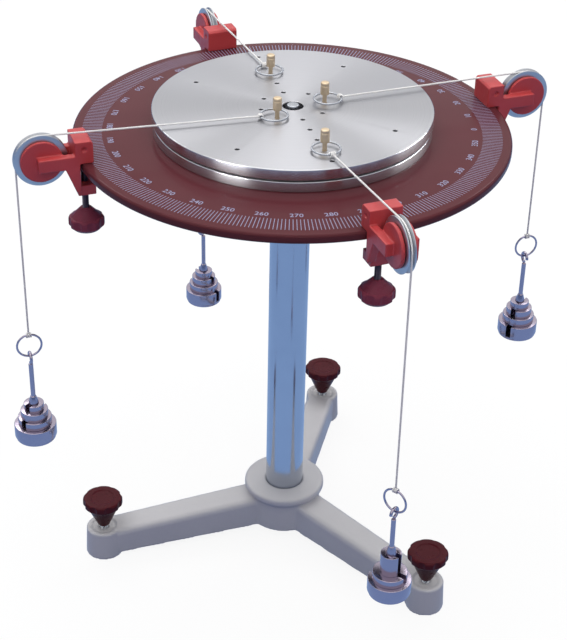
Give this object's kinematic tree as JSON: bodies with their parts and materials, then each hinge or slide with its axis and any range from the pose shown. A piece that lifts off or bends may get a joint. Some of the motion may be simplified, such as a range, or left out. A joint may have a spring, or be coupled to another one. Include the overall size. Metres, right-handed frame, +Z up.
{
  "type": "force table",
  "caption": "Round graduated force table on a tripod column, with a moment disc on balls, pegs, rim clamps with pulleys, cords and hanging masses.",
  "frame": {"origin": "on the bench under the column's axis", "axes": "+Z up the column, +X to the viewer's right and +Y away from the viewer"},
  "size_m": [0.5196, 0.5132, 0.497],
  "materials": {
    "cream_enamel": "grey-cream stoved enamel on cast iron",
    "maroon_enamel": "gloss maroon enamel with a printed dial",
    "maroon_plastic": "moulded, polished",
    "chrome": "bright plating",
    "aluminium": "turned",
    "steel": "bright drawn",
    "brass": "turned",
    "red_plastic": "moulded, satin",
    "cord": "braided"
  },
  "bodies": {
    "base": {"tripod_casting": "cream_enamel", "column_tube": "chrome", "column_bolt": "steel", "table_flange": "aluminium", "flange_screws": "steel", "table_disc": "maroon_enamel", "bearing_plate": "aluminium", "centre_pin": "steel"},
    "level_screw_1": {"levelling_spindle_1": "steel"},
    "level_knob_1": {"levelling_knob_1": "maroon_plastic"},
    "level_screw_2": {"levelling_spindle_2": "steel"},
    "level_knob_2": {"levelling_knob_2": "maroon_plastic"},
    "level_screw_3": {"levelling_spindle_3": "steel"},
    "level_knob_3": {"levelling_knob_3": "maroon_plastic"},
    "disc": {"moment_disc": "aluminium"},
    "balls": {"bearing_balls": "steel"},
    "peg_1": {"peg_1": "brass"},
    "clamp_1": {"clamp_body_1": "red_plastic", "cord_arc_1": "cord"},
    "clamp_screw_1": {"clamp_spindle_1": "steel"},
    "clamp_grip_1": {"clamp_knob_1": "maroon_plastic"},
    "wheel_1": {"pulley_wheel_1": "aluminium"},
    "line_1": {"cord_span_1": "cord", "peg_ring_1": "steel"},
    "drop_1": {"cord_drop_1": "cord", "hanger_ring_1": "steel"},
    "mass_1": {"mass_1": "chrome"},
    "peg_2": {"peg_2": "brass"},
    "clamp_2": {"clamp_body_2": "red_plastic", "cord_arc_2": "cord"},
    "clamp_screw_2": {"clamp_spindle_2": "steel"},
    "clamp_grip_2": {"clamp_knob_2": "maroon_plastic"},
    "wheel_2": {"pulley_wheel_2": "aluminium"},
    "line_2": {"cord_span_2": "cord", "peg_ring_2": "steel"},
    "drop_2": {"cord_drop_2": "cord", "hanger_ring_2": "steel"},
    "mass_2": {"mass_2": "chrome"},
    "peg_3": {"peg_3": "brass"},
    "clamp_3": {"clamp_body_3": "red_plastic", "cord_arc_3": "cord"},
    "clamp_screw_3": {"clamp_spindle_3": "steel"},
    "clamp_grip_3": {"clamp_knob_3": "maroon_plastic"},
    "wheel_3": {"pulley_wheel_3": "aluminium"},
    "line_3": {"cord_span_3": "cord", "peg_ring_3": "steel"},
    "drop_3": {"cord_drop_3": "cord", "hanger_ring_3": "steel"},
    "mass_3": {"mass_3": "chrome"},
    "peg_4": {"peg_4": "brass"},
    "clamp_4": {"clamp_body_4": "red_plastic", "cord_arc_4": "cord"},
    "clamp_screw_4": {"clamp_spindle_4": "steel"},
    "clamp_grip_4": {"clamp_knob_4": "maroon_plastic"},
    "wheel_4": {"pulley_wheel_4": "aluminium"},
    "line_4": {"cord_span_4": "cord", "peg_ring_4": "steel"},
    "drop_4": {"cord_drop_4": "cord", "hanger_ring_4": "steel"},
    "mass_4": {"mass_4": "chrome"}
  },
  "joints": [
    {"name": "level_1_rise", "type": "slide", "parent": "base", "child": "level_screw_1", "axis": [0, 0, 1], "range_m": [-0.003, 0.006]},
    {"name": "level_1_turn", "type": "hinge", "parent": "level_screw_1", "child": "level_knob_1", "pos_m": [0.04221, 0.1873, 0.05], "axis": [0, 0, 1], "range_deg": [-869, 1733]},
    {"name": "level_2_rise", "type": "slide", "parent": "base", "child": "level_screw_2", "axis": [0, 0, 1], "range_m": [-0.003, 0.006]},
    {"name": "level_2_turn", "type": "hinge", "parent": "level_screw_2", "child": "level_knob_2", "pos_m": [-0.18331, -0.0571, 0.05], "axis": [0, 0, 1], "range_deg": [-869, 1733]},
    {"name": "level_3_rise", "type": "slide", "parent": "base", "child": "level_screw_3", "axis": [0, 0, 1], "range_m": [-0.003, 0.006]},
    {"name": "level_3_turn", "type": "hinge", "parent": "level_screw_3", "child": "level_knob_3", "pos_m": [0.1411, -0.13021, 0.05], "axis": [0, 0, 1], "range_deg": [-869, 1733]},
    {"name": "disc_spin", "type": "hinge", "parent": "base", "child": "disc", "pos_m": [0, 0, 0.47], "axis": [0, 0, 1], "range_deg": [-9, 9]},
    {"name": "ball_roll", "type": "hinge", "parent": "base", "child": "balls", "pos_m": [0, 0, 0.466], "axis": [0, 0, 1], "range_deg": [-4.5, 4.5]},
    {"name": "peg_1_lift", "type": "slide", "parent": "disc", "child": "peg_1", "axis": [0, 0, 1], "range_m": [0, 0.012]},
    {"name": "clamp_1_round", "type": "hinge", "parent": "base", "child": "clamp_1", "pos_m": [0, 0, 0.455], "axis": [0, 0, 1], "range_deg": [-2, 2]},
    {"name": "grip_1_advance", "type": "slide", "parent": "clamp_1", "child": "clamp_screw_1", "axis": [0, 0, 1], "range_m": [-0.0058, 0]},
    {"name": "grip_1_turn", "type": "hinge", "parent": "clamp_screw_1", "child": "clamp_grip_1", "pos_m": [-0.07305, 0.1808, 0.385], "axis": [0, 0, 1], "range_deg": [-2095, 0]},
    {"name": "pulley_1_spin", "type": "hinge", "parent": "clamp_1", "child": "wheel_1", "pos_m": [-0.08728, 0.21603, 0.458], "axis": [-0.9272, -0.3746, 0], "continuous": true},
    {"name": "line_1_swing", "type": "hinge", "parent": "clamp_1", "child": "line_1", "pos_m": [-0.08728, 0.21603, 0.4802], "axis": [0, 0, 1], "range_deg": [-9, 9]},
    {"name": "drop_1_swing", "type": "hinge", "parent": "clamp_1", "child": "drop_1", "pos_m": [-0.0956, 0.23662, 0.458], "axis": [-0.9272, -0.3746, 0], "range_deg": [-8, 8]},
    {"name": "mass_1_swing", "type": "hinge", "parent": "drop_1", "child": "mass_1", "pos_m": [-0.0956, 0.23662, 0.2152], "axis": [-0.3746, 0.9272, 0], "range_deg": [-15, 15]},
    {"name": "peg_2_lift", "type": "slide", "parent": "disc", "child": "peg_2", "axis": [0, 0, 1], "range_m": [0, 0.012]},
    {"name": "clamp_2_round", "type": "hinge", "parent": "base", "child": "clamp_2", "pos_m": [0, 0, 0.455], "axis": [0, 0, 1], "range_deg": [-2, 2]},
    {"name": "grip_2_advance", "type": "slide", "parent": "clamp_2", "child": "clamp_screw_2", "axis": [0, 0, 1], "range_m": [-0.0058, 0]},
    {"name": "grip_2_turn", "type": "hinge", "parent": "clamp_screw_2", "child": "clamp_grip_2", "pos_m": [0.18324, 0.06669, 0.385], "axis": [0, 0, 1], "range_deg": [-2095, 0]},
    {"name": "pulley_2_spin", "type": "hinge", "parent": "clamp_2", "child": "wheel_2", "pos_m": [0.21895, 0.07969, 0.458], "axis": [-0.342, 0.9397, 0], "continuous": true},
    {"name": "line_2_swing", "type": "hinge", "parent": "clamp_2", "child": "line_2", "pos_m": [0.21895, 0.07969, 0.4802], "axis": [0, 0, 1], "range_deg": [-9, 9]},
    {"name": "drop_2_swing", "type": "hinge", "parent": "clamp_2", "child": "drop_2", "pos_m": [0.23981, 0.08728, 0.458], "axis": [-0.342, 0.9397, 0], "range_deg": [-8, 8]},
    {"name": "mass_2_swing", "type": "hinge", "parent": "drop_2", "child": "mass_2", "pos_m": [0.23981, 0.08728, 0.2752], "axis": [0.9397, 0.342, 0], "range_deg": [-15, 15]},
    {"name": "peg_3_lift", "type": "slide", "parent": "disc", "child": "peg_3", "axis": [0, 0, 1], "range_m": [0, 0.012]},
    {"name": "clamp_3_round", "type": "hinge", "parent": "base", "child": "clamp_3", "pos_m": [0, 0, 0.455], "axis": [0, 0, 1], "range_deg": [-2, 2]},
    {"name": "grip_3_advance", "type": "slide", "parent": "clamp_3", "child": "clamp_screw_3", "axis": [0, 0, 1], "range_m": [-0.0058, 0]},
    {"name": "grip_3_turn", "type": "hinge", "parent": "clamp_screw_3", "child": "clamp_grip_3", "pos_m": [-0.18324, -0.06669, 0.385], "axis": [0, 0, 1], "range_deg": [-2095, 0]},
    {"name": "pulley_3_spin", "type": "hinge", "parent": "clamp_3", "child": "wheel_3", "pos_m": [-0.21895, -0.07969, 0.458], "axis": [0.342, -0.9397, 0], "continuous": true},
    {"name": "line_3_swing", "type": "hinge", "parent": "clamp_3", "child": "line_3", "pos_m": [-0.21895, -0.07969, 0.4802], "axis": [0, 0, 1], "range_deg": [-9, 9]},
    {"name": "drop_3_swing", "type": "hinge", "parent": "clamp_3", "child": "drop_3", "pos_m": [-0.23981, -0.08728, 0.458], "axis": [0.342, -0.9397, 0], "range_deg": [-8, 8]},
    {"name": "mass_3_swing", "type": "hinge", "parent": "drop_3", "child": "mass_3", "pos_m": [-0.23981, -0.08728, 0.2572], "axis": [-0.9397, -0.342, 0], "range_deg": [-15, 15]},
    {"name": "peg_4_lift", "type": "slide", "parent": "disc", "child": "peg_4", "axis": [0, 0, 1], "range_m": [0, 0.012]},
    {"name": "clamp_4_round", "type": "hinge", "parent": "base", "child": "clamp_4", "pos_m": [0, 0, 0.455], "axis": [0, 0, 1], "range_deg": [-2, 2]},
    {"name": "grip_4_advance", "type": "slide", "parent": "clamp_4", "child": "clamp_screw_4", "axis": [0, 0, 1], "range_m": [-0.0058, 0]},
    {"name": "grip_4_turn", "type": "hinge", "parent": "clamp_screw_4", "child": "clamp_grip_4", "pos_m": [0.07305, -0.1808, 0.385], "axis": [0, 0, 1], "range_deg": [-2095, 0]},
    {"name": "pulley_4_spin", "type": "hinge", "parent": "clamp_4", "child": "wheel_4", "pos_m": [0.08728, -0.21603, 0.458], "axis": [0.9272, 0.3746, 0], "continuous": true},
    {"name": "line_4_swing", "type": "hinge", "parent": "clamp_4", "child": "line_4", "pos_m": [0.08728, -0.21603, 0.4802], "axis": [0, 0, 1], "range_deg": [-9, 9]},
    {"name": "drop_4_swing", "type": "hinge", "parent": "clamp_4", "child": "drop_4", "pos_m": [0.0956, -0.23662, 0.458], "axis": [0.9272, 0.3746, 0], "range_deg": [-8, 8]},
    {"name": "mass_4_swing", "type": "hinge", "parent": "drop_4", "child": "mass_4", "pos_m": [0.0956, -0.23662, 0.2022], "axis": [0.788, -0.6157, 0], "range_deg": [-15, 15]}
  ],
  "couplings": [
    {"joint": "level_1_turn", "follows": "level_1_rise", "rad_per_m": 5026.5},
    {"joint": "level_2_turn", "follows": "level_2_rise", "rad_per_m": 5026.5},
    {"joint": "level_3_turn", "follows": "level_3_rise", "rad_per_m": 5026.5},
    {"joint": "ball_roll", "follows": "disc_spin", "ratio": 0.5},
    {"joint": "grip_1_turn", "follows": "grip_1_advance", "rad_per_m": 6283.2},
    {"joint": "line_1_swing", "follows": "disc_spin", "ratio": -0.4431},
    {"joint": "grip_2_turn", "follows": "grip_2_advance", "rad_per_m": 6283.2},
    {"joint": "line_2_swing", "follows": "disc_spin", "ratio": -0.14754},
    {"joint": "grip_3_turn", "follows": "grip_3_advance", "rad_per_m": 6283.2},
    {"joint": "line_3_swing", "follows": "disc_spin", "ratio": -0.095209},
    {"joint": "grip_4_turn", "follows": "grip_4_advance", "rad_per_m": 6283.2},
    {"joint": "line_4_swing", "follows": "disc_spin", "ratio": -0.65569}
  ]
}
